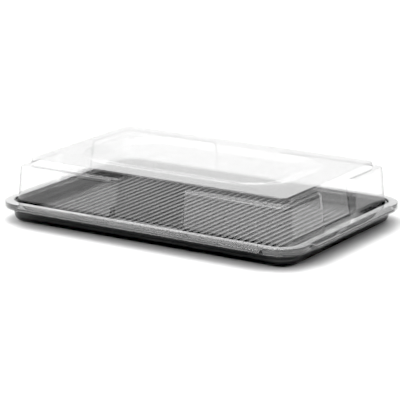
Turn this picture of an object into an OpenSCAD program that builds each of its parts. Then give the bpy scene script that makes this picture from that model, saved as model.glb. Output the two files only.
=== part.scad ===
// Ribbed tray with a clear push-on dome lid.
// Both pieces are vacuum-formed sheet. Origin: centre of the footprint, on the table.
// X is the long side, Y the short side, Z is up.

/* [Footprint] */
// Length over the lid skirt
length = 460; // [440:1:520]
// Width over the lid skirt
width = 314; // [300:1:360]
// How far the side skirt stands out from the inner edge of the flange
side_reach = 20; // [18:0.5:24]
// How far the corner skirt stands out from the inner edge of the flange
corner_reach = 13.5; // [12:0.5:15]
// Corner radius at the inner edge of the flange
flange_radius = 25; // [24:0.5:30]

/* [Heights] */
// Table to the top of the lid flange
flange_z = 27; // [25:0.5:32]
// Table to the roof of the lid
roof_z = 80.5; // [76:0.5:110]
// Drop from the roof to the ledge on the corner posts
ledge_drop = 8; // [5:0.5:12]
// Drop of the side skirt below the flange
side_drop = 5.6; // [5:0.1:8]
// Drop of the corner skirt below the flange
corner_drop = 8.6; // [7:0.1:10]
// Depth of the locating groove inside the flange
groove_depth = 4; // [3:0.5:6]

/* [Dome] */
// Inset of the roof edge from the inner edge of the flange, along X
roof_inset_x = 18; // [14:0.5:24]
// Inset of the roof edge from the inner edge of the flange, along Y
roof_inset_y = 23; // [18:0.5:30]
// Corner radius of the roof edge
roof_radius = 11; // [10:0.5:20]
// Outward draft of the recessed side walls, roof to groove
recess_draft = 8; // [4:0.5:9]
// Half length of the recess in each long wall
recess_x = 48; // [30:1:90]
// Half length of the recess in each short wall
recess_y = 34; // [20:1:60]
// Depth of the dished panel in the roof
dish_depth = 4; // [1:0.5:6]

/* [Tray] */
// Table to the top of the floor between the ribs
floor_z = 13; // [8:0.5:15]
// Inset of the floor edge from the inner edge of the flange
floor_inset = 14.5; // [14:0.5:18]
// Number of ribs
rib_count = 36; // [20:2:38]
// Distance from rib to rib
rib_pitch = 9.85; // [8:0.05:9.9]
// Height of a rib
rib_height = 1.6; // [1:0.1:2.5]
// Width of a rib at its foot
rib_width = 5.4; // [3:0.1:6]

/* [Sheet] */
// Thickness of the black tray sheet
tray_t = 0.8; // [0.6:0.1:1]
// Thickness of the clear lid sheet
lid_t = 0.6; // [0.5:0.1:0.8]
// Clearance between the lid and the tray
fit_gap = 0.4; // [0.35:0.05:0.6]

/* [Hidden] */
$fn = 96;

// Half sizes of the inner edge of the flange, the outline that everything is offset from.
half_x = length / 2 - side_reach;
half_y = width / 2 - side_reach;

// Edge roundings.
flange_round = 1.2;
roof_round = 2.4;
post_round = 4.5;
lip_out = 0.7;
lip_tall = 0.6;

// The long sides and short sides carry a stepped shoulder between the four plain corners.
shoulder_gap_x = 4;
shoulder_gap_y = 11;
shoulder_in = 9.6;
shoulder_drop = 1.6;
shoulder_ease = 0.4;
shoulder_ease_z = 0.3;
shoulder_bevel = 0.5;
stub_x = half_x - flange_radius - shoulder_gap_x;
stub_y = half_y - flange_radius - shoulder_gap_y;

// Locating groove inside the flange. Its floor laps under the foot of the dome.
groove_z = flange_z - groove_depth;
groove_wall = -0.5;
groove_lap = -4.6;
groove_floor_in = 3;

// Recessed core of the dome, and the posts that stand proud of it at the four corners. Cuts
// and hollows run on past the faces that they open by the distance past.
ledge_z = roof_z - ledge_drop;
past = 3;
core_lean = 1;
core_x = half_x - roof_inset_x - roof_radius;
core_y = half_y - roof_inset_y - roof_radius;
post_foot = 5;
post_radius = 18;
post_draft = 4;
post_x = half_x - post_foot - post_radius;
post_y = half_y - post_foot - post_radius;
recess_flare = 15;
recess_bite = 2;
recess_lean = atan(recess_draft / (ledge_z - groove_z));

// Dished panel in the roof.
dish_slope = 26;
dish_radius = 39;
dish_x = 92;
dish_y = 20;

// Tray wall, gutter and floor, as offsets outward from the inner edge of the flange.
rim_in = 2.5;
rim_drop = lid_t + fit_gap;
rim_lip = 0.5;
tray_shoulder_in = shoulder_in - 1;
tray_shoulder_run = 0.6;
tray_shoulder_rise = 0.2;
wall_foot = 0.3;
step_z = 12.4;
step_out = 0.8;
gutter_round = 8.5;
gutter_z = tray_t;
gutter_out = -8.8;
gutter_in = -12;
floor_ease = 0.8;
floor_ease_z = 0.2;
floor_rise = 0.9;
section_end = -21;
floor_lap = 0.5;
floor_x = half_x + section_end + floor_lap;
floor_y = half_y + section_end + floor_lap;
rib_top_share = 0.4;

// To the nearest micron, so that the turns and straight runs of a section meet exactly.
function neat(p) = [round(p.x * 1000) / 1000, round(p.y * 1000) / 1000];

function unit_normal(a, b) = [a.y - b.y, b.x - a.x] / norm(b - a);

// Point i of path p moved sideways by t, mitred where the path turns.
function mitred(p, i, t) =
    let (last = len(p) - 1)
    let (n0 = unit_normal(p[max(i - 1, 0)], p[max(i, 1)]))
    let (n1 = unit_normal(p[min(i, last - 1)], p[min(i + 1, last)]))
    let (m = (n0 + n1) / norm(n0 + n1))
    neat(p[i] + m * t / (m * n0));

// Closed outline of a sheet of thickness t whose one face follows path p.
function sheet(p, t) = concat(p, [for (i = [len(p) - 1:-1:0]) mitred(p, i, t)]);

function arc(centre, r, from, to, steps) = [
    for (i = [0:steps])
        let (a = from + (to - from) * i / steps)
        neat(centre + r * [cos(a), sin(a)])];

function shifted(p, d) = [for (q = p) q + d];

// One quarter turn of a section at each corner of the flange outline. Sections are drawn as
// [offset outward, height].
module turn_corners(section) {
    cx = half_x - flange_radius;
    cy = half_y - flange_radius;
    spots = [[cx, cy, 0], [-cx, cy, 90], [-cx, -cy, 180], [cx, -cy, 270]];
    for (s = spots)
        translate([s.x, s.y, 0])
            rotate([0, 0, s.z])
                rotate_extrude(angle = 90)
                    polygon(shifted(section, [flange_radius, 0]));
}

// A straight run of a section along all four sides: from from_x to to_x on the long sides and
// from from_y to to_y on the short ones, measured from the middle of the side.
module run_sides(section, from_x, to_x, from_y, to_y) {
    for (flip = [0, 180])
        rotate([0, 0, flip]) {
            long_run(section, from_x, to_x);
            short_run(section, from_y, to_y);
        }
}

module long_run(section, from, to) {
    translate([from, -half_y, 0])
        rotate([90, 0, 90])
            linear_extrude(to - from)
                polygon([for (q = section) [-q.x, q.y]]);
}

module short_run(section, from, to) {
    translate([half_x, to, 0])
        rotate([90, 0, 0])
            linear_extrude(to - from)
                polygon(section);
}

// Solid with a rounded rectangular plan. cx and cy are its corner centres, and profile lists
// [radius, height] from the bottom up.
module tub(cx, cy, profile) {
    low = profile[0].y;
    high = profile[len(profile) - 1].y;
    for (x = [-cx, cx], y = [-cy, cy])
        translate([x, y, 0])
            rotate_extrude()
                polygon(concat([[0, low]], profile, [[0, high]]));
    tub_bar(cx, cy, profile);
    rotate([0, 0, 90])
        tub_bar(cy, cx, profile);
}

// Middle of a tub: its profile on both sides of a bar that runs along X.
module tub_bar(cx, cy, profile) {
    count = len(profile);
    translate([-cx, 0, 0])
        rotate([90, 0, 90])
            linear_extrude(2 * cx)
                polygon(concat(
                    [for (q = profile) [cy + q.x, q.y]],
                    [for (i = [count - 1:-1:0]) [-cy - profile[i].x, profile[i].y]]));
}

// ---- Lid sections -------------------------------------------------------------------------

// Outer face of the flange from its top down into the locating groove.
function flange_inside() = concat(
    arc([flange_round, flange_z - flange_round], flange_round, 90, 180, 3),
    [[groove_wall, groove_z], [groove_lap, groove_z]]);

// A skirt that hangs from height top at offset reach and ends in a small turned-out lip.
function skirt(reach, bottom, top) = concat(
    [[reach, bottom], [reach, bottom + lip_tall], [reach - lip_out, bottom + 2 * lip_tall]],
    arc([reach - lip_out - flange_round, top - flange_round], flange_round, 0, 90, 3));

function lid_corner_path() =
    concat(skirt(corner_reach, flange_z - corner_drop, flange_z), flange_inside());

function lid_side_path() = concat(
    skirt(side_reach, flange_z - side_drop, flange_z - shoulder_drop),
    [
        [shoulder_in + shoulder_ease, flange_z - shoulder_drop + shoulder_ease_z],
        [shoulder_in, flange_z - shoulder_ease_z],
        [shoulder_in - shoulder_bevel, flange_z]],
    flange_inside());

// ---- Tray sections ------------------------------------------------------------------------

// Upper face of the tray from the rim down the wall, through the gutter and on to the floor.
function tray_inside() = concat(
    arc([rim_in + flange_round, flange_z - rim_drop - flange_round], flange_round, 90, 170, 3),
    [[wall_foot + step_out, step_z + step_out], [wall_foot, step_z]],
    arc([gutter_out, gutter_z + gutter_round], gutter_round, 5, -90, 6),
    [
        [gutter_in, gutter_z],
        [floor_ease - floor_inset, floor_z - floor_rise],
        [-floor_inset, floor_z - floor_ease_z],
        [-floor_inset - floor_ease, floor_z],
        [section_end, floor_z]]);

// Tray rim under the lid flange, held clear of it by the fit gap.
function rim(reach, bottom, top) =
    let (out = reach - rim_drop - lip_out)
    concat(
        [[out, bottom + rim_lip]],
        arc([out - flange_round, top - rim_drop - flange_round], flange_round, 0, 90, 3));

function tray_corner_path() =
    concat(rim(corner_reach, flange_z - corner_drop, flange_z), tray_inside());

function tray_side_path() = tray_low_path(side_reach, flange_z - side_drop);

function tray_step_path() = tray_low_path(corner_reach, flange_z - corner_drop);

// Tray section with a low shoulder, for a skirt at offset reach.
function tray_low_path(reach, bottom) = concat(
    rim(reach, bottom, flange_z - shoulder_drop),
    [
        [tray_shoulder_in + tray_shoulder_run, flange_z - rim_drop - shoulder_drop + tray_shoulder_rise],
        [tray_shoulder_in, flange_z - rim_drop]],
    tray_inside());

// ---- Edge: plain corners, stepped sides and the upright webs that close the ends of the steps --

// A web closes the wide skirt of a side against the corner skirt, and a riser closes the low
// shoulder of a side against the high flange of a corner. The web stands low_by short of the end
// of the step and the riser high_by past it, with a low and narrow piece of edge between them.
module edge(corner_path, step_path, side_path, web, riser, t, low_by, high_by) {
    plain = sheet(corner_path, t);
    turn_corners(plain);
    low_x = stub_x - low_by;
    low_y = stub_y - low_by;
    high_x = stub_x + high_by;
    high_y = stub_y + high_by;
    edge_run(plain, high_x, half_x - flange_radius, high_y, half_y - flange_radius);
    edge_run(riser, high_x - t, high_x, high_y - t, high_y);
    if (low_by + high_by > 0)
        edge_run(sheet(step_path, t), low_x, high_x, low_y, high_y);
    edge_run(web, low_x - t, low_x, low_y - t, low_y);
    run_sides(sheet(side_path, t), -low_x, low_x, -low_y, low_y);
}

// The same straight run at both ends of every side.
module edge_run(section, from_x, to_x, from_y, to_y) {
    run_sides(section, from_x, to_x, from_y, to_y);
    run_sides(section, -to_x, -from_x, -to_y, -from_y);
}

// Outline of the web between a stepped skirt and the corner skirt, whose inner face is at inner.
function web_outline(skirt_path, inner) =
    let (last = len(skirt_path) - 1)
    concat(skirt_path, [[inner, skirt_path[last].y], [inner, skirt_path[0].y]]);

// Outline of the riser from a shoulder at height low up to the rounded edge of a corner flange.
function riser_outline(inner, low, reach, top) = concat(
    [[inner, low], [inner, top]],
    arc([reach - flange_round, top - flange_round], flange_round, 90, 0, 3),
    [[reach, low]]);

// ---- Dome ---------------------------------------------------------------------------------

// Outer face of the core wall, from the groove up and over the edge of the roof.
function core_path() = concat(
    [[roof_radius + core_lean + recess_draft, groove_z], [roof_radius + core_lean, ledge_z]],
    arc([roof_radius - roof_round, roof_z - roof_round], roof_round, 0, 90, 4));

// Outer face of a corner post, from the groove up and over on to its ledge.
function post_path() = concat(
    [[post_radius, groove_z]],
    arc([post_radius - post_draft - post_round, ledge_z - post_round], post_round, 4, 90, 5));

// The inner face that goes with an outer face, carried on down through the groove floor.
function hollow(p) =
    let (q = [for (i = [0:len(p) - 1]) mitred(p, i, lid_t)])
    concat([[q[0].x, groove_z - past]], q);

// Wedge-sided cut that keeps the posts off the middle of each wall. It leans with the wall.
module recess(grow) {
    recess_cut(recess_x, half_y, roof_inset_y, grow);
    rotate([0, 0, 90])
        recess_cut(recess_y, half_x, roof_inset_x, grow);
}

module recess_cut(half_run, half_depth, inset, grow) {
    near = half_depth - inset - recess_bite;
    far = half_depth - near;
    for (turn = [0, 180])
        rotate([0, 0, turn])
            translate([0, near, ledge_z])
                rotate([recess_lean, 0, 0])
                    translate([0, 0, -roof_z])
                        linear_extrude(roof_z + ledge_drop)
                            polygon([
                                [-half_run - grow, 0],
                                [half_run + grow, 0],
                                [half_run + recess_flare + grow, far],
                                [-half_run - recess_flare - grow, far]]);
}

module dish(drop) {
    over = 1;
    translate([0, 0, -drop])
        tub(dish_x, dish_y, [
            [dish_radius, roof_z - dish_depth],
            [dish_radius + dish_slope * (1 + over / dish_depth), roof_z + over]]);
}

module dome_outside() {
    difference() {
        tub(core_x, core_y, core_path());
        dish(0);
    }
    difference() {
        tub(post_x, post_y, post_path());
        recess(0);
    }
}

module dome_inside() {
    difference() {
        tub(core_x, core_y, hollow(core_path()));
        dish(lid_t);
    }
    difference() {
        tub(post_x, post_y, hollow(post_path()));
        recess(lid_t);
    }
}

module groove_floor() {
    reach = flange_radius - groove_floor_in;
    tub(half_x - flange_radius, half_y - flange_radius, [[reach, groove_z - lid_t], [reach, groove_z]]);
}

// ---- The two pieces -----------------------------------------------------------------------

// Clear dome with its flange and skirt, one sheet.
module lid() {
    side_skirt = skirt(side_reach, flange_z - side_drop, flange_z - shoulder_drop);
    wall = corner_reach - lip_out;
    shoulder_under = flange_z - shoulder_drop - lid_t / 2;
    web = web_outline(side_skirt, wall - lid_t);
    riser = riser_outline(shoulder_in, shoulder_under, wall, flange_z);
    color([0.9, 0.95, 0.97, 0.35]) {
        edge(lid_corner_path(), [], lid_side_path(), web, riser, lid_t, 0, 0);
        difference() {
            union() {
                groove_floor();
                dome_outside();
            }
            dome_inside();
        }
    }
}

// Floor between the ribs and the ribs themselves, one corrugated strip closed at both ends.
module ribbed_floor() {
    rib_side = rib_width / 2;
    rib_flat = rib_side * rib_top_share;
    first = -(rib_count - 1) / 2 * rib_pitch;
    ridges = [
        for (i = [0:rib_count - 1])
            for (q = [[-rib_side, 0], [-rib_flat, rib_height], [rib_flat, rib_height], [rib_side, 0]])
                [first + i * rib_pitch + q.x, floor_z + q.y]];
    top = concat([[-floor_x, floor_z]], ridges, [[floor_x, floor_z]]);
    under = [for (i = [len(top) - 1:-1:0]) top[i] - [0, tray_t]];
    translate([0, floor_y, 0])
        rotate([90, 0, 0]) {
            linear_extrude(2 * floor_y)
                polygon(concat(top, under));
            for (z = [0, 2 * floor_y - tray_t])
                translate([0, 0, z])
                    linear_extrude(tray_t)
                        polygon(concat(top, [[floor_x, floor_z - tray_t], [-floor_x, floor_z - tray_t]]));
        }
}

// Black tray: rim, wall, gutter and ribbed floor, one sheet.
module tray() {
    side_rim = rim(side_reach, flange_z - side_drop, flange_z - shoulder_drop);
    wall = corner_reach - rim_drop - lip_out;
    top = flange_z - rim_drop;
    shoulder_under = top - shoulder_drop - tray_t / 2;
    web = web_outline(side_rim, wall - tray_t);
    riser = riser_outline(tray_shoulder_in, shoulder_under, wall, top);
    past_riser = fit_gap + tray_t;
    color([0.07, 0.07, 0.08]) {
        edge(
            tray_corner_path(), tray_step_path(), tray_side_path(),
            web, riser, tray_t, rim_drop, past_riser);
        ribbed_floor();
    }
}

tray();
lid();
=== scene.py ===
"""Black ribbed tray under a clear push-on dome lid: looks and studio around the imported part."""

import math

import bmesh
import bpy
import numpy as np
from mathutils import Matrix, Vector


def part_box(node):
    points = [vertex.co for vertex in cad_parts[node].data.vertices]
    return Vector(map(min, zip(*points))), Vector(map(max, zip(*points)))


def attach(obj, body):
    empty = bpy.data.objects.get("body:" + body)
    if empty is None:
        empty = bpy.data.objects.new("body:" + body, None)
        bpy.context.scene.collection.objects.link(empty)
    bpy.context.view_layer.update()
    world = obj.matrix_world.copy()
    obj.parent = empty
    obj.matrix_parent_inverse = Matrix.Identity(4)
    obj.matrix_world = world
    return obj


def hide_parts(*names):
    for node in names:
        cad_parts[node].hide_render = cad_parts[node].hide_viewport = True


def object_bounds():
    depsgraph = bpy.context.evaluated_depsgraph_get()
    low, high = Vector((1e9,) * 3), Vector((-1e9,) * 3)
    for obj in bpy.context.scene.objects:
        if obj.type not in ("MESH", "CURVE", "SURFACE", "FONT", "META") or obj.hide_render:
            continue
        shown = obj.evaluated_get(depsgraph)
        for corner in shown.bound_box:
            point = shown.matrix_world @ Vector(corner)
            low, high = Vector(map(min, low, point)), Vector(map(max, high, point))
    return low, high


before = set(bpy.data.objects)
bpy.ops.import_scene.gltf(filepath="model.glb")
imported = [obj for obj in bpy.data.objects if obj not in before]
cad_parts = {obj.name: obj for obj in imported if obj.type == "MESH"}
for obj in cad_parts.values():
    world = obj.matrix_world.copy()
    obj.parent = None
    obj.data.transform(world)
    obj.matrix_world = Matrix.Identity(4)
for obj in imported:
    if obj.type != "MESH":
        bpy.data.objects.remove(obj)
cad_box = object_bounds()

MM = 0.001

# ---- Sizes, in millimetres -------------------------------------------------------------------
# The outline and the roof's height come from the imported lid. The rest are the sections of the two
# sheets, drawn as [offset outward from the inner edge of the flange, height].

LID_HIGH = Vector(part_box("lid")[1]) / MM

# How far the skirt stands out along the sides and round the corners.
SIDE_REACH = 20.0
CORNER_REACH = 13.5
HALF_X = LID_HIGH.x - SIDE_REACH
HALF_Y = LID_HIGH.y - SIDE_REACH
FLANGE_RADIUS = 25.0
CORNER_X = HALF_X - FLANGE_RADIUS
CORNER_Y = HALF_Y - FLANGE_RADIUS

# Thicknesses of the sheets, and heights of the flange, groove, ledge, roof and dish.
LID_T = 0.6
TRAY_T = 0.8
RIM_DROP = 1.0
FLANGE_Z = 27.0
ROOF_Z = LID_HIGH.z
GROOVE_Z = 23.0
LEDGE_DROP = 8.0
LEDGE_Z = ROOF_Z - LEDGE_DROP
DISH_DEPTH = 4.0
DISH_Z = ROOF_Z - DISH_DEPTH

# The skirt hangs lower at the corners. Along the sides it slopes down from the flange first.
SIDE_DROP = 5.6
CORNER_DROP = 8.6
SHOULDER_FALL = 2.0
SHOULDER_IN = 9.6
FLANGE_ROUND = 1.2
LIP_OUT = 0.7
LIP_TALL = 0.6

# The recessed middle walls and the roof form the core. The posts stand out from it.
CORE_RADIUS = 11.0
CORE_INSET_X, CORE_INSET_Y = 18.0, 23.0
CORE_X = HALF_X - CORE_INSET_X - CORE_RADIUS
CORE_Y = HALF_Y - CORE_INSET_Y - CORE_RADIUS
CORE_LEAN = 1.0
CORE_DRAFT = 8.0
ROOF_ROUND = 2.4
POST_RADIUS = 18.0
POST_INSET = 5.0
POST_X = HALF_X - POST_INSET - POST_RADIUS
POST_Y = HALF_Y - POST_INSET - POST_RADIUS
POST_DRAFT = 4.0
POST_ROUND = 4.5

# A crease is where a recessed wall turns out to a post, measured from the middle of its side.
CREASE_X = 49.8
CREASE_Y = 35.8
FLARE = 0.6
CREASE_FILLET = 2.0
POST_EDGE_ROUND = 7.5

DISH_X, DISH_Y = 92.0, 20.0
DISH_INNER, DISH_OUTER = 39.0, 65.0
DISH_SOFT = 1.3
FOOT_FILLET = 1.0
LEDGE_FILLET = 1.1

# A web is the step where the wide skirt of a side meets the narrow skirt of a corner.
WEB_INSET_X, WEB_INSET_Y = 4.0, 11.0
WEB_X = CORNER_X - WEB_INSET_X
WEB_Y = CORNER_Y - WEB_INSET_Y
WEB_HALF = 1.0
TRAY_WEB_SHIFT = 1.0

# Levels of the tray's rim, from the skirt's edge up, whose width follows the wide skirt.
RIM_LEVELS = 9

FLOOR_Z = 13.0
RIB_COUNT = 36
RIB_PITCH = 9.85
RIB_HEIGHT = 1.6
RIB_HALF = 2.9
RIB_END = 116.5
RIB_END_RUN = 3.5

# Places and steps of the meshes' columns and rows.
RAMP_STEPS = 6
WEB_STEPS = 8
LID_CORNER_STEPS = 28
TRAY_CORNER_STEPS = 20
CREASE_MARGIN, RAMP_MARGIN, WEB_MARGIN = 4, 6, 4
RAMP_SETTLES = 0.75
LAST_COLUMN = 184.0
MIDDLE_ROWS = [0, 30, 60, 90, 97]
CORNER_ROWS = [106, 110]
END_ROWS = [113.0, 113.8, 114.6, 115.3, 115.9, 116.3, RIB_END]


# ---- Section helpers -------------------------------------------------------------------------


def arc(centre, radius, start, end, steps):
    """Points on an arc of a section, its angles in degrees."""
    angles = np.radians(np.linspace(start, end, steps + 1))
    return [[centre[0] + radius * math.cos(a), centre[1] + radius * math.sin(a)] for a in angles]


def between(a, b, steps):
    """Points evenly spaced from a towards b, without either."""
    a, b = np.array(a, float), np.array(b, float)
    return [list(a + (b - a) * i / (steps + 1)) for i in range(1, steps + 1)]


def smooth(x):
    """Eased share from 0 to 1."""
    x = min(max(x, 0.0), 1.0)
    return x * x * (3 - 2 * x)


# ---- Stations round a quarter of the plan ----------------------------------------------------
# A station is a place on the outline: on the short side at y, in the corner at an angle, or on
# the long side at x. A quarter runs from the middle of the short side to that of the long side.


def filleted_ramp(run, depth, low_radius, high_radius, steps):
    """(along, share) points over a slope of this run and depth, from share 0 to share 1, with
    both its bends rounded."""
    slope = math.atan2(depth, run)
    low = low_radius * math.tan(slope / 2)
    high = high_radius * math.tan(slope / 2)
    points = []
    for i in range(steps + 1):
        a = slope * i / steps
        points.append((-low + low_radius * math.sin(a), low_radius * (1 - math.cos(a))))
    for i in range(steps + 1):
        a = slope * (1 - i / steps)
        points.append((run + high - high_radius * math.sin(a), depth - high_radius * (1 - math.cos(a))))
    return [(x / run, y / depth) for x, y in points]


def side_marks(crease, depth, web, corner):
    """(t, post share, shoulder share) along half a side, from its middle to the corner."""
    run = depth * FLARE
    ramp = filleted_ramp(run, depth, CREASE_FILLET, POST_EDGE_ROUND, RAMP_STEPS)
    marks = [(t, 0.0, 1.0) for t in np.linspace(0, crease - CREASE_MARGIN, 6)]
    marks += [(crease + run * x, w, 1.0) for x, w in ramp]
    start = crease + run + RAMP_MARGIN
    stop = web - WEB_MARGIN
    marks += [(t, 1.0, 1.0) for t in np.linspace(start, stop, 8)]
    for i in range(WEB_STEPS + 1):
        x = i / WEB_STEPS
        marks.append((web - WEB_HALF + 2 * WEB_HALF * x, 1.0, 1 - smooth(x)))
    marks += [(t, 1.0, 0.0) for t in np.linspace(web + WEB_HALF, corner, 4)[1:-1]]
    return marks


def quarter_stations(short_marks, long_marks, corner_steps):
    """Stations of a quarter, from the marks of its two sides."""
    stations = [("short", t, post, side) for t, post, side in short_marks]
    stations += [("corner", math.pi / 2 * i / corner_steps, 1.0, 0.0) for i in range(corner_steps + 1)]
    stations += [("long", t, post, side) for t, post, side in reversed(long_marks)]
    return stations


def place(station, cx, cy, r, z, run=1.0):
    """Where a station is on an outline with this corner centre, radius and height. run scales
    the slope at the end of a post."""
    kind, t = station[0], station[1]
    if kind == "corner":
        return (cx + r * math.cos(t), cy + r * math.sin(t), z)
    if kind == "short":
        crease, depth, corner, target = CREASE_Y, SHORT_DEPTH, CORNER_Y, cy
    else:
        crease, depth, corner, target = CREASE_X, LONG_DEPTH, CORNER_X, cx
    ramp = depth * FLARE
    settled = corner * RAMP_SETTLES
    along = np.interp(
        t,
        [0, crease, crease + ramp, settled, corner],
        [0, crease, crease + ramp * run, settled, target],
    )
    return (cx + r, along, z) if kind == "short" else (along, cy + r, z)


def whole_loop(quarter):
    """Mirrors a quarter, an array of levels by stations by xyz, into the whole outline."""
    mirror_x, mirror_y = np.array([-1, 1, 1]), np.array([1, -1, 1])
    return np.concatenate(
        [
            quarter,
            (quarter * mirror_x)[:, -2::-1],
            (quarter * mirror_x * mirror_y)[:, 1:],
            (quarter * mirror_y)[:, -2:0:-1],
        ],
        axis=1,
    )


def loft_faces(levels, count):
    """Faces between loops of count points, level above level."""
    faces = []
    for i in range(levels - 1):
        for j in range(count):
            a = i * count + j
            b = i * count + (j + 1) % count
            faces.append((a, b, b + count, a + count))
    return faces


def new_mesh(name, points, faces):
    mesh = bpy.data.meshes.new(name)
    mesh.from_pydata([tuple(p) for p in points], [], faces)
    obj = bpy.data.objects.new(name, mesh)
    bpy.context.scene.collection.objects.link(obj)
    return obj


def finish_sheet(obj, thickness, offset):
    """Welds a single skin, turns its normals the right way and gives it its thickness."""
    bm = bmesh.new()
    bm.from_mesh(obj.data)
    bmesh.ops.remove_doubles(bm, verts=bm.verts, dist=1e-6)
    bmesh.ops.recalc_face_normals(bm, faces=bm.faces)
    bm.faces.ensure_lookup_table()
    highest = max(bm.faces, key=lambda f: f.calc_center_median().z)
    if highest.normal.z < 0:
        bmesh.ops.reverse_faces(bm, faces=bm.faces)
    bm.to_mesh(obj.data)
    bm.free()
    solid = obj.modifiers.new("sheet", "SOLIDIFY")
    solid.thickness = thickness
    solid.offset = offset
    solid.use_even_offset = True
    solid.use_rim = True
    depsgraph = bpy.context.evaluated_depsgraph_get()
    mesh = bpy.data.meshes.new_from_object(obj.evaluated_get(depsgraph))
    obj.modifiers.clear()
    obj.data = mesh
    mesh.polygons.foreach_set("use_smooth", [True] * len(mesh.polygons))
    mesh.update()


# ---- Lid ---------------------------------------------------------------------------------------


def core_r(z):
    """Radius of the recessed wall's corner at height z."""
    if z >= LEDGE_Z:
        top = ROOF_Z - ROOF_ROUND
        return CORE_RADIUS + CORE_LEAN * (top - z) / (top - LEDGE_Z)
    return CORE_RADIUS + CORE_LEAN + CORE_DRAFT * (LEDGE_Z - z) / (LEDGE_Z - GROOVE_Z)


def post_r(z):
    """Radius of a post's corner at height z."""
    low_edge = LEDGE_Z - POST_ROUND
    return POST_RADIUS - POST_DRAFT * (z - GROOVE_Z) / (low_edge - GROOVE_Z)


SHORT_DEPTH = (POST_X + POST_RADIUS - POST_DRAFT) - (CORE_X + core_r(LEDGE_Z))
LONG_DEPTH = (POST_Y + POST_RADIUS - POST_DRAFT) - (CORE_Y + core_r(LEDGE_Z))
SHORT_FOOT = (POST_X + POST_RADIUS) - (CORE_X + core_r(GROOVE_Z))
LONG_FOOT = (POST_Y + POST_RADIUS) - (CORE_Y + core_r(GROOVE_Z))


def lid_flange_sections():
    """Corner and side sections of the skirt and flange, point for point."""
    skirt_bottom = FLANGE_Z - CORNER_DROP
    wall = CORNER_REACH - LIP_OUT
    corner = [
        [CORNER_REACH, skirt_bottom],
        [CORNER_REACH, skirt_bottom + LIP_TALL],
        [wall, skirt_bottom + 2 * LIP_TALL],
        [wall, skirt_bottom + 2 * LIP_TALL + 0.5],
        [wall, FLANGE_Z - FLANGE_ROUND - 0.5],
    ]
    corner += arc([wall - FLANGE_ROUND, FLANGE_Z - FLANGE_ROUND], FLANGE_ROUND, 0, 90, 5)
    corner += between(corner[-1], [SHOULDER_IN - 0.5, FLANGE_Z], 5)
    corner += [[SHOULDER_IN - 0.5, FLANGE_Z]]

    bottom = FLANGE_Z - SIDE_DROP
    top = FLANGE_Z - SHOULDER_FALL
    wall = SIDE_REACH - LIP_OUT
    side = [
        [SIDE_REACH, bottom],
        [SIDE_REACH, bottom + LIP_TALL],
        [wall, bottom + 2 * LIP_TALL],
        [wall, bottom + 2 * LIP_TALL + 0.3],
        [wall, top - FLANGE_ROUND - 0.3],
    ]
    side += arc([wall - FLANGE_ROUND, top - FLANGE_ROUND], FLANGE_ROUND, 0, 78, 5)
    side += [
        [SHOULDER_IN + 5.0, FLANGE_Z - 1.21],
        [SHOULDER_IN + 1.8, FLANGE_Z - 0.52],
        [SHOULDER_IN + 1.0, FLANGE_Z - 0.37],
        [SHOULDER_IN + 0.4, FLANGE_Z - 0.26],
        [SHOULDER_IN - 0.1, FLANGE_Z - 0.14],
        [SHOULDER_IN - 0.6, FLANGE_Z],
    ]
    inside = [[SHOULDER_IN - 1.4, FLANGE_Z], [5.0, FLANGE_Z], [FLANGE_ROUND + 0.8, FLANGE_Z]]
    inside += arc([FLANGE_ROUND, FLANGE_Z - FLANGE_ROUND], FLANGE_ROUND, 90, 180, 6)
    inside += [[-0.3, GROOVE_Z + 1.1]]
    inside += arc([-1.5, GROOVE_Z + 1.0], 1.0, -10, -90, 4)
    return corner + inside, side + inside


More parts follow.
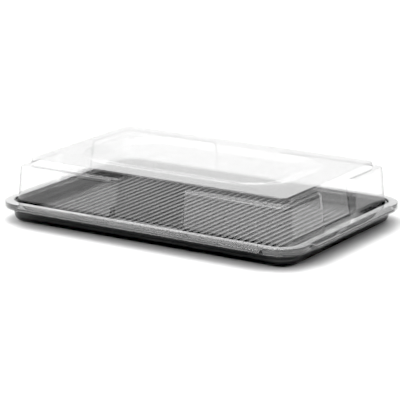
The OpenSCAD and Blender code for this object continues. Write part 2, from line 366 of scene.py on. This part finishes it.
def lid_quarter():
    """Levels of the lid's quarter, from the skirt's edge up to the middle of the dish."""
    stations = quarter_stations(
        side_marks(CREASE_Y, SHORT_DEPTH, WEB_Y, CORNER_Y),
        side_marks(CREASE_X, LONG_DEPTH, WEB_X, CORNER_X),
        LID_CORNER_STEPS,
    )
    levels = []

    corner, side = lid_flange_sections()
    for a, b in zip(corner, side):
        row = []
        for s in stations:
            share = s[3]
            o = a[0] + (b[0] - a[0]) * share
            z = a[1] + (b[1] - a[1]) * share
            row.append(place(s, CORNER_X, CORNER_Y, FLANGE_RADIUS + o, z))
        levels.append(row)

    # Dome levels: (radius, height) where the wall is recessed, and the same on a post. The
    # last value says whether the post's point lies on the post's or on the core's outline.
    arc_points = arc(
        [POST_RADIUS - POST_DRAFT - POST_ROUND, LEDGE_Z - POST_ROUND], POST_ROUND, 5, 90, 8
    )
    dome = []
    for a in (0, 22, 45, 68, 85):
        turn = math.radians(a)
        z = GROOVE_Z + FOOT_FILLET * (1 - math.cos(turn))
        out = FOOT_FILLET * (1 - math.sin(turn))
        dome.append((core_r(z) + out, z, post_r(z) + out, z, True))
    for z in (GROOVE_Z + 1.6, 34.0, 46.0, 58.0, LEDGE_Z - POST_ROUND - 0.6):
        dome.append((core_r(z), z, post_r(z), z, True))
    low = arc_points[0][1]
    for i, (r, z) in enumerate(arc_points):
        core_z = low + (LEDGE_Z - 0.9 - low) * i / (len(arc_points) - 1)
        dome.append((core_r(core_z), core_z, r, z, True))
    for i, a in enumerate((0, 30, 60, 88)):
        turn = math.radians(a)
        z = LEDGE_Z + LEDGE_FILLET * (1 - math.cos(turn))
        out = LEDGE_FILLET * (1 - math.sin(turn))
        core_z = LEDGE_Z - 0.6 + i * 0.55
        dome.append((core_r(core_z), core_z, core_r(LEDGE_Z) - 0.15 + out, z, False))
    for z in (LEDGE_Z + 2.2, ROOF_Z - ROOF_ROUND - 0.6):
        dome.append((core_r(z), z, core_r(z), z, False))
    for r, z in arc([CORE_RADIUS - ROOF_ROUND, ROOF_Z - ROOF_ROUND], ROOF_ROUND, 0, 90, 8):
        dome.append((r, z, r, z, False))
    roof_edge = CORE_RADIUS - ROOF_ROUND - 1.2
    dome.append((roof_edge, ROOF_Z, roof_edge, ROOF_Z, False))

    for core_radius, core_z, post_radius, post_z, on_post in dome:
        row = []
        height = min(max((core_z - GROOVE_Z) / (LEDGE_Z - GROOVE_Z), 0), 1)
        for s in stations:
            depth, foot_depth = (
                (SHORT_DEPTH, SHORT_FOOT) if s[0] == "short" else (LONG_DEPTH, LONG_FOOT)
            )
            run = (foot_depth + (depth - foot_depth) * height) / depth
            a = np.array(place(s, CORE_X, CORE_Y, core_radius, core_z, run))
            cx, cy = (POST_X, POST_Y) if on_post else (CORE_X, CORE_Y)
            b = np.array(place(s, cx, cy, post_radius, post_z, run))
            row.append(tuple(a + (b - a) * s[2]))
        levels.append(row)

    # Roof, from its edge to the dished panel in it.
    edge = np.array(levels[-1])

    def dish_ring(r, z):
        ring = []
        for s in stations:
            if s[0] == "corner":
                ring.append(place(s, DISH_X, DISH_Y, r, z))
            elif s[0] == "short":
                ring.append((DISH_X + r, s[1] * DISH_Y / CORNER_Y, z))
            else:
                ring.append((s[1] * DISH_X / CORNER_X, DISH_Y + r, z))
        return np.array(ring)

    soft = DISH_SOFT
    slope = (ROOF_Z - DISH_Z) / (DISH_OUTER - DISH_INNER)
    outer = dish_ring(DISH_OUTER + soft, ROOF_Z)
    for i in range(1, 4):
        levels.append(edge + (outer - edge) * i / 4)
    profile = [(DISH_OUTER + soft, ROOF_Z)]
    for k in (0.5, 0.0, -0.5):
        profile.append((DISH_OUTER + soft * k, ROOF_Z - slope * soft * (1 - k) ** 2 / 4))
    profile.append((DISH_OUTER - soft, ROOF_Z - slope * soft))
    profile.append(((DISH_OUTER + DISH_INNER) / 2, (ROOF_Z + DISH_Z) / 2))
    profile.append((DISH_INNER + soft, DISH_Z + slope * soft))
    for k in (0.5, 0.0, -0.5):
        profile.append((DISH_INNER + soft * k, DISH_Z + slope * soft * (1 + k) ** 2 / 4))
    profile += [(DISH_INNER - soft, DISH_Z), (DISH_INNER - soft - 3, DISH_Z)]
    for r, z in profile:
        levels.append(dish_ring(r, z))
    return np.array(levels, float)


def make_lid():
    loop = whole_loop(lid_quarter())
    levels, count = loop.shape[:2]
    points = loop.reshape(-1, 3) * MM
    faces = loft_faces(levels, count)
    faces.append(tuple(range((levels - 1) * count, levels * count)))
    obj = new_mesh("lid_dome", points, faces)
    finish_sheet(obj, LID_T * MM, -1)
    return obj


# ---- Tray --------------------------------------------------------------------------------------


def rib_columns():
    """x of the floor's columns from the middle of the tray to the last rib's foot."""
    steps = (-1.0, -0.82, -0.62, -0.42, -0.2, 0.0, 0.2, 0.42, 0.62, 0.82, 1.0)
    xs = {0.0}
    for i in range(RIB_COUNT // 2):
        centre = (i + 0.5) * RIB_PITCH
        xs.update(round(centre + RIB_HALF * s, 4) for s in steps)
    return sorted(xs)


def rib_rise(x, y):
    """Height of the ribs above the floor at a point."""
    x, y = abs(x), abs(y)
    nearest = min(max(round(x / RIB_PITCH - 0.5), 0), RIB_COUNT // 2 - 1)
    away = abs(x - (nearest + 0.5) * RIB_PITCH) / RIB_HALF
    across = 0.5 + 0.5 * math.cos(math.pi * min(away, 1.0))
    over = (y - (RIB_END - RIB_END_RUN)) / RIB_END_RUN
    end = 1.0 if over <= 0 else math.sqrt(max(1 - over * over, 0.0))
    return RIB_HEIGHT * across * end


def tray_sections():
    """Corner and side sections of the tray's upper face, point for point."""
    out = CORNER_REACH - RIM_DROP - LIP_OUT
    corner = [[out, FLANGE_Z - CORNER_DROP + 0.5], [out, FLANGE_Z - RIM_DROP - FLANGE_ROUND - 0.6]]
    corner += arc([out - FLANGE_ROUND, FLANGE_Z - RIM_DROP - FLANGE_ROUND], FLANGE_ROUND, 0, 90, 5)
    corner += between(corner[-1], [SHOULDER_IN - 1.4, FLANGE_Z - RIM_DROP], 3)
    corner += [[SHOULDER_IN - 1.4, FLANGE_Z - RIM_DROP]]

    out = SIDE_REACH - RIM_DROP - LIP_OUT
    top = FLANGE_Z - SHOULDER_FALL - RIM_DROP
    side = [[out, FLANGE_Z - SIDE_DROP + 0.5], [out, top - FLANGE_ROUND - 0.3]]
    side += arc([out - FLANGE_ROUND, top - FLANGE_ROUND], FLANGE_ROUND, 0, 78, 5)
    side += [
        [SHOULDER_IN + 4.0, top + 0.8],
        [SHOULDER_IN + 1.0, top + 1.45],
        [SHOULDER_IN, top + 1.68],
        [SHOULDER_IN - 1.5, FLANGE_Z - RIM_DROP],
    ]
    rim_in = 2.5
    inside = [[6.0, FLANGE_Z - RIM_DROP]]
    inside += arc(
        [rim_in + FLANGE_ROUND, FLANGE_Z - RIM_DROP - FLANGE_ROUND], FLANGE_ROUND, 90, 172, 5
    )
    inside += [[2.2, 22.5], [1.6, 17.5], [1.15, 13.8], [0.95, 13.1], [0.45, 12.5], [0.3, 12.0]]
    inside += arc([-8.8, TRAY_T + 8.5], 8.5, 5, -90, 12)
    inside += [[-11.2, TRAY_T], [-11.9, 1.3], [-12.15, 2.4], [-13.3, 9.8]]
    inside += [[-13.7, 11.3], [-14.6, 12.45], [-16.0, FLOOR_Z], [-17.2, FLOOR_Z], [-19.0, FLOOR_Z]]
    return corner + inside, side + inside


def make_tray():
    web_marks = [-1.0, -0.75, -0.5, -0.25, 0.0, 0.25, 0.5, 0.75, 1.0]
    shifts = (-TRAY_WEB_SHIFT, TRAY_WEB_SHIFT)

    def web_places(web):
        """Where the two shares change, on either side of a web."""
        spots = [web + shift + WEB_HALF * m for shift in shifts for m in web_marks]
        return sorted({round(t, 4) for t in spots})

    def marks(values, web):
        """Stations with the share of the wide skirt and the share of the low shoulder."""
        found = []
        for t in values:
            wide, low = (
                1 - smooth((t - web - shift + WEB_HALF) / (2 * WEB_HALF))
                for shift in shifts
            )
            found.append((t, wide, low))
        return found

    columns = rib_columns() + web_places(WEB_X) + [LAST_COLUMN]
    rows = MIDDLE_ROWS + web_places(WEB_Y) + CORNER_ROWS
    stations = quarter_stations(marks(rows, WEB_Y), marks(columns, WEB_X), TRAY_CORNER_STEPS)
    corner, side = tray_sections()
    levels = []
    for level, (a, b) in enumerate(zip(corner, side)):
        row = []
        for s in stations:
            kind, t, wide, low = s if s[0] != "corner" else (s[0], s[1], 0.0, 0.0)
            o_share = wide if level < RIM_LEVELS else low
            z_share = low if level > 0 else wide
            o = a[0] + (b[0] - a[0]) * o_share
            z = a[1] + (b[1] - a[1]) * z_share
            r = FLANGE_RADIUS + o
            if kind == "corner":
                row.append((CORNER_X + r * math.cos(t), CORNER_Y + r * math.sin(t), z))
            elif kind == "short":
                row.append((CORNER_X + r, t, z))
            else:
                row.append((t, CORNER_Y + r, z))
        levels.append(row)
    loop = whole_loop(np.array(levels, float))
    level_count, count = loop.shape[:2]
    points = [tuple(p) for p in loop.reshape(-1, 3)]
    faces = loft_faces(level_count, count)

    # Ribbed floor, a grid that meets the last loop along its straight sides.
    edge_r = FLANGE_RADIUS + corner[-1][0]
    edge_x, edge_y = CORNER_X + edge_r, CORNER_Y + edge_r
    xs = sorted({s * x for x in columns + [CORNER_X] for s in (-1, 1)})
    inner = sorted({s * y for y in rows + [CORNER_Y] for s in (-1, 1)})
    ends = [CORNER_Y] + END_ROWS + [edge_y]
    index = {}

    def vertex(x, y):
        key = (round(x, 4), round(y, 4))
        if key not in index:
            index[key] = len(points)
            points.append((x, y, FLOOR_Z + rib_rise(x, y)))
        return index[key]

    def grid(us, vs):
        for u0, u1 in zip(us, us[1:]):
            for v0, v1 in zip(vs, vs[1:]):
                faces.append((vertex(u0, v0), vertex(u1, v0), vertex(u1, v1), vertex(u0, v1)))

    grid(xs, inner)
    grid(xs, ends)
    grid(xs, [-y for y in reversed(ends)])
    grid([CORNER_X, edge_x], inner)
    grid([-edge_x, -CORNER_X], inner)
    for sx, sy in ((1, 1), (-1, 1), (-1, -1), (1, -1)):
        fan = [vertex(sx * CORNER_X, sy * y) for y in ends]
        for i in range(1, TRAY_CORNER_STEPS + 1):
            a = math.pi / 2 * (1 - i / TRAY_CORNER_STEPS)
            x = CORNER_X + edge_r * math.cos(a)
            y = CORNER_Y + edge_r * math.sin(a)
            fan.append(vertex(sx * x, sy * y))
        faces.append(tuple(fan if sx * sy < 0 else reversed(fan)))
    obj = new_mesh("tray_base", np.array(points) * MM, faces)
    finish_sheet(obj, TRAY_T * MM, -1)
    return obj


# ---- Materials -----------------------------------------------------------------------------------


BUMP_DEPTH = 0.00005

# Clear lid. FRONT is the value where the sheet is seen face on, GRAZING where it is seen edgeways.
MIRROR_FRONT, MIRROR_GRAZING = 0.048, 1.0
MIRROR_POWER = 4.6
CLEAR_FRONT, GRAZING_CLEAR = 0.985, 0.5
CLEAR_POWER = 3.0
LID_ROUGH = (0.02, 0.07)
HAZE = 0.72
HAZE_POWER = 6.0
HAZE_BASE = 0.012
HAZE_SPREAD = (0.8, 1.25)
HAZE_TONE = 0.5
# The flat top of the flange gets a paler haze that grows towards grazing angles, a painted sheen
# for its bright line: fully within RIM_NEAR of its height, and no longer beyond RIM_FAR. The dome's
# haze sets in from DOME_BELOW under it to DOME_ABOVE over it.
RIM_SHEEN_TONE = 0.92
RIM_SHEEN = 0.4
RIM_SHEEN_POWER = 1.5
RIM_NEAR, RIM_FAR = 0.05, 0.35
DOME_BELOW, DOME_ABOVE = 0.2, 1.0

# Black tray, with its plastic a little uneven in tone.
TRAY_DARK = (0.008, 0.008, 0.0085, 1)
TRAY_LIGHT = (0.013, 0.013, 0.0135, 1)
TRAY_ROUGH = (0.07, 0.14)
TRAY_IOR = 1.65


class Nodes:
    """Short way to add and link the nodes of a material or a world."""

    def __init__(self, owner):
        owner.use_nodes = True
        self.tree = owner.node_tree
        self.tree.nodes.clear()

    def feed(self, socket, value):
        if isinstance(value, bpy.types.NodeSocket):
            self.tree.links.new(value, socket)
        else:
            socket.default_value = value

    def add(self, kind, **values):
        """New node. A value goes to the property of its name, to input N for iN, or to the
        input with that name, its spaces written as underscores."""
        node = self.tree.nodes.new(kind)
        for key, value in values.items():
            if hasattr(node, key):
                setattr(node, key, value)
            elif key[0] == "i" and key[1:].isdigit():
                self.feed(node.inputs[int(key[1:])], value)
            else:
                self.feed(node.inputs[key.replace("_", " ")], value)
        return node

    def math(self, operation, a, b=0.0):
        node = self.tree.nodes.new("ShaderNodeMath")
        node.operation = operation
        for socket, value in zip(node.inputs, (a, b)):
            self.feed(socket, value)
        return node.outputs[0]

    def noise(self, place, scale, detail=2.0, roughness=0.5):
        values = {"Vector": place, "Scale": scale, "Detail": detail, "Roughness": roughness}
        return self.add("ShaderNodeTexNoise", **values).outputs["Fac"]

    def ranged(self, value, from_low, from_high, low, high):
        node = self.add("ShaderNodeMapRange")
        names = ("Value", "From Min", "From Max", "To Min", "To Max")
        for name, number in zip(names, (value, from_low, from_high, low, high)):
            self.feed(node.inputs[name], number)
        return node.outputs["Result"]

    def grey(self, value):
        return self.add("ShaderNodeCombineColor", Red=value, Green=value, Blue=value).outputs[0]


def clear_plastic():
    """Thin clear sheet: mirrors more and looks milkier the flatter it is seen."""
    material = bpy.data.materials.new("lid_clear_plastic")
    n = Nodes(material)
    place = n.add("ShaderNodeTexCoord").outputs["Object"]
    waves = n.noise(place, 9.0, 2.0, 0.5)
    peel = n.noise(place, 160.0, 3.0, 0.6)
    scuffs = n.noise(place, 46.0, 4.0, 0.7)
    height = n.math("ADD", waves, n.math("MULTIPLY", peel, 0.02))
    bump = n.add("ShaderNodeBump", Strength=0.6, Distance=BUMP_DEPTH, Height=height).outputs["Normal"]
    facing = n.add("ShaderNodeLayerWeight", Blend=0.5, Normal=bump).outputs["Facing"]
    flat = n.math("POWER", facing, MIRROR_POWER)
    mirror = n.ranged(flat, 0.0, 1.0, MIRROR_FRONT, MIRROR_GRAZING)
    rough = n.ranged(scuffs, 0.35, 0.7, *LID_ROUGH)
    gloss = n.add("ShaderNodeBsdfGlossy", Color=(1, 1, 1, 1), Roughness=rough, Normal=bump)
    slant = n.math("POWER", facing, CLEAR_POWER)
    through = n.ranged(slant, 0.0, 1.0, CLEAR_FRONT, GRAZING_CLEAR)
    clear = n.add("ShaderNodeBsdfTransparent", Color=n.grey(through))
    level = n.add("ShaderNodeSeparateXYZ", Vector=place).outputs["Z"]
    # Painted sheen: a band at the flange top gets a paler haze, stronger towards grazing angles, for
    # the flange's bright line.
    above = n.ranged(level, (FLANGE_Z - RIM_FAR) * MM, (FLANGE_Z - RIM_NEAR) * MM, 0.0, 1.0)
    below = n.ranged(level, (FLANGE_Z + RIM_NEAR) * MM, (FLANGE_Z + RIM_FAR) * MM, 1.0, 0.0)
    rim = n.math("MULTIPLY", above, below)
    pale = n.ranged(rim, 0.0, 1.0, HAZE_TONE, RIM_SHEEN_TONE)
    haze = n.add("ShaderNodeBsdfDiffuse", Color=n.grey(pale))
    dome_low, dome_high = (FLANGE_Z - DOME_BELOW) * MM, (FLANGE_Z + DOME_ABOVE) * MM
    dome = n.ranged(level, dome_low, dome_high, 0.0, 1.0)
    scuffed = n.ranged(scuffs, 0.3, 0.75, HAZE * HAZE_SPREAD[0], HAZE * HAZE_SPREAD[1])
    grazing_rim_sheen = n.math("MULTIPLY", n.math("POWER", facing, RIM_SHEEN_POWER), RIM_SHEEN)
    rim_sheen = n.math("MULTIPLY", rim, grazing_rim_sheen)
    milky = n.math("MULTIPLY", n.math("POWER", facing, HAZE_POWER), scuffed)
    handled = n.math("ADD", milky, HAZE_BASE)
    milk = n.math("ADD", n.math("MULTIPLY", dome, handled), rim_sheen)
    body = n.add("ShaderNodeMixShader", i0=milk, i1=clear.outputs[0], i2=haze.outputs[0])
    top = n.add("ShaderNodeMixShader", i0=mirror, i1=body.outputs[0], i2=gloss.outputs[0])
    n.add("ShaderNodeOutputMaterial", Surface=top.outputs[0])
    return material


def black_plastic():
    """Glossy black sheet with faint waves and scuffs."""
    material = bpy.data.materials.new("tray_black_plastic")
    n = Nodes(material)
    place = n.add("ShaderNodeTexCoord").outputs["Object"]
    grain = n.noise(place, 900.0, 2.0, 0.6)
    waves = n.noise(place, 30.0, 3.0, 0.5)
    scuffs = n.noise(place, 70.0, 5.0, 0.7)
    height = n.math("ADD", n.math("MULTIPLY", waves, 0.6), n.math("MULTIPLY", grain, 0.18))
    bump = n.add("ShaderNodeBump", Strength=0.5, Distance=BUMP_DEPTH, Height=height).outputs["Normal"]
    rough = n.ranged(scuffs, 0.3, 0.72, *TRAY_ROUGH)
    shade = n.ranged(waves, 0.3, 0.7, 0.0, 1.0)
    tone = n.add("ShaderNodeMix", data_type="RGBA", i0=shade, i6=TRAY_DARK, i7=TRAY_LIGHT)
    plastic = {"Base_Color": tone.outputs[2], "Roughness": rough, "Normal": bump, "IOR": TRAY_IOR}
    shader = n.add("ShaderNodeBsdfPrincipled", **plastic)
    n.add("ShaderNodeOutputMaterial", Surface=shader.outputs[0])
    return material


def table_white():
    """Plain matt white table, a little uneven in its sheen."""
    material = bpy.data.materials.new("studio_table")
    n = Nodes(material)
    place = n.add("ShaderNodeTexCoord").outputs["Object"]
    rough = n.ranged(n.noise(place, 3.0), 0.0, 1.0, *TABLE_ROUGH)
    paint = {"Base_Color": TABLE_COLOUR, "Roughness": rough, "IOR": TABLE_IOR}
    shader = n.add("ShaderNodeBsdfPrincipled", **paint)
    n.add("ShaderNodeOutputMaterial", Surface=shader.outputs[0])
    return material


# ---- Build -----------------------------------------------------------------------------------------

lid = make_lid()
tray = make_tray()
lid.data.materials.append(clear_plastic())
tray.data.materials.append(black_plastic())
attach(lid, "lid")
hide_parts("lid")
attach(tray, "tray")
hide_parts("tray")


# ---- Studio -----------------------------------------------------------------------------------------

TABLE_HALF = 7.0
TABLE_COLOUR = (0.92, 0.92, 0.92, 1)
TABLE_ROUGH = (0.75, 0.85)
TABLE_IOR = 1.3
BLACK_LEVEL = 0.03
CEILING_STRENGTH = 3.1
CEILING_SPREAD = math.radians(120)
CEILING_WAY = (0.22, 0.12, -1)
TOP_POWER = 8
TOP_SIZE = 1.0
TOP_SPOT = (-0.3, 0.05, 1.6)
TOP_AIM = (-0.1, 0.0, 0)
# Surroundings: an even fill, and a sweep behind the object. The sweep fades to SIDE_SWEEP away
# from the middle and ends between the two heights of SWEEP_TOP, sines of the angle upwards.
FILL = 0.25
SWEEP = 1.08
SIDE_SWEEP = 0.35
SWEEP_EDGE, SWEEP_FULL = 0.45, 0.85
SWEEP_TOP = (0.49, 0.55)
SWEEP_TILT_REACH = 0.12
SWEEP_LEFT, SWEEP_RIGHT = 1.16, 0.97
VIEW_TURN = math.radians(32.415)
VIEW_ELEVATION = math.radians(14.9)
VIEW_DISTANCE = 2.7672
LENS = 193.05
SENSOR_WIDTH = 36
SHIFT_X, SHIFT_Y = -0.003155, -0.00103

back = Vector(
    (
        math.sin(VIEW_TURN) * math.cos(VIEW_ELEVATION),
        -math.cos(VIEW_TURN) * math.cos(VIEW_ELEVATION),
        math.sin(VIEW_ELEVATION),
    )
)
target = Vector((0, 0, FLANGE_Z * MM))
camera_data = bpy.data.cameras.new("camera")
camera_data.sensor_width = SENSOR_WIDTH
camera_data.lens = LENS
camera_data.shift_x = SHIFT_X
camera_data.shift_y = SHIFT_Y
camera_data.clip_start = 0.1
camera_data.clip_end = 30
camera = bpy.data.objects.new("camera", camera_data)
camera.location = target + back * VIEW_DISTANCE
camera.rotation_mode = "QUATERNION"
camera.rotation_quaternion = (-back).to_track_quat("-Z", "Y")
bpy.context.scene.collection.objects.link(camera)
bpy.context.scene.camera = camera


def hang_light(data, way, spot=(0, 0, 0)):
    """Puts a light at a spot, shining along way."""
    obj = bpy.data.objects.new(data.name, data)
    obj.location = spot
    obj.rotation_mode = "QUATERNION"
    obj.rotation_quaternion = Vector(way).to_track_quat("-Z", "Y")
    bpy.context.scene.collection.objects.link(obj)


away = Vector((-back.x, -back.y, 0)).normalized()
right = Vector((away.y, -away.x, 0))

table = new_mesh(
    "studio_floor",
    [(x * TABLE_HALF, y * TABLE_HALF, 0) for x, y in ((-1, -1), (1, -1), (1, 1), (-1, 1))],
    [(0, 1, 2, 3)],
)
table.location.z = cad_box[0].z
table.data.materials.append(table_white())

ceiling_data = bpy.data.lights.new("soft_ceiling", "SUN")
ceiling_data.energy = CEILING_STRENGTH
ceiling_data.angle = CEILING_SPREAD
hang_light(ceiling_data, CEILING_WAY)
top_data = bpy.data.lights.new("top_softbox", "AREA")
top_data.shape = "RECTANGLE"
top_data.size = TOP_SIZE
top_data.size_y = TOP_SIZE
top_data.energy = TOP_POWER
hang_light(top_data, Vector(TOP_AIM) - Vector(TOP_SPOT), TOP_SPOT)


def studio_world():
    """Even pale surroundings with a bright sweep behind the object, up to some 30 degrees."""
    world = bpy.data.worlds.new("studio")
    n = Nodes(world)
    way = n.add("ShaderNodeTexCoord").outputs["Generated"]
    height = n.add("ShaderNodeSeparateXYZ", Vector=way).outputs["Z"]
    behind = n.add("ShaderNodeVectorMath", operation="DOT_PRODUCT", i0=way, i1=away).outputs["Value"]
    sweep = n.ranged(behind, SWEEP_EDGE, SWEEP_FULL, SIDE_SWEEP, 1.0)
    low = n.ranged(height, SWEEP_TOP[0], SWEEP_TOP[1], 1.0, 0.0)
    aside = n.add("ShaderNodeVectorMath", operation="DOT_PRODUCT", i0=way, i1=right).outputs["Value"]
    tilt = n.ranged(aside, -SWEEP_TILT_REACH, SWEEP_TILT_REACH, SWEEP_LEFT, SWEEP_RIGHT)
    glow = n.math("MULTIPLY", n.math("MULTIPLY", sweep, low), tilt)
    strength = n.math("ADD", n.math("MULTIPLY", glow, SWEEP), FILL)
    shader = n.add("ShaderNodeBackground", Color=(1, 1, 1, 1), Strength=strength)
    n.add("ShaderNodeOutputWorld", Surface=shader.outputs[0])
    return world


scene = bpy.context.scene
scene.world = studio_world()
scene.view_settings.view_transform = "Standard"
# Contrast of the photograph: the darkest few percent of the picture go to black.
scene.view_settings.use_curve_mapping = True
scene.view_settings.curve_mapping.black_level = (BLACK_LEVEL, BLACK_LEVEL, BLACK_LEVEL)
scene.view_settings.curve_mapping.update()
scene.cycles.max_bounces = 16
scene.cycles.transparent_max_bounces = 40
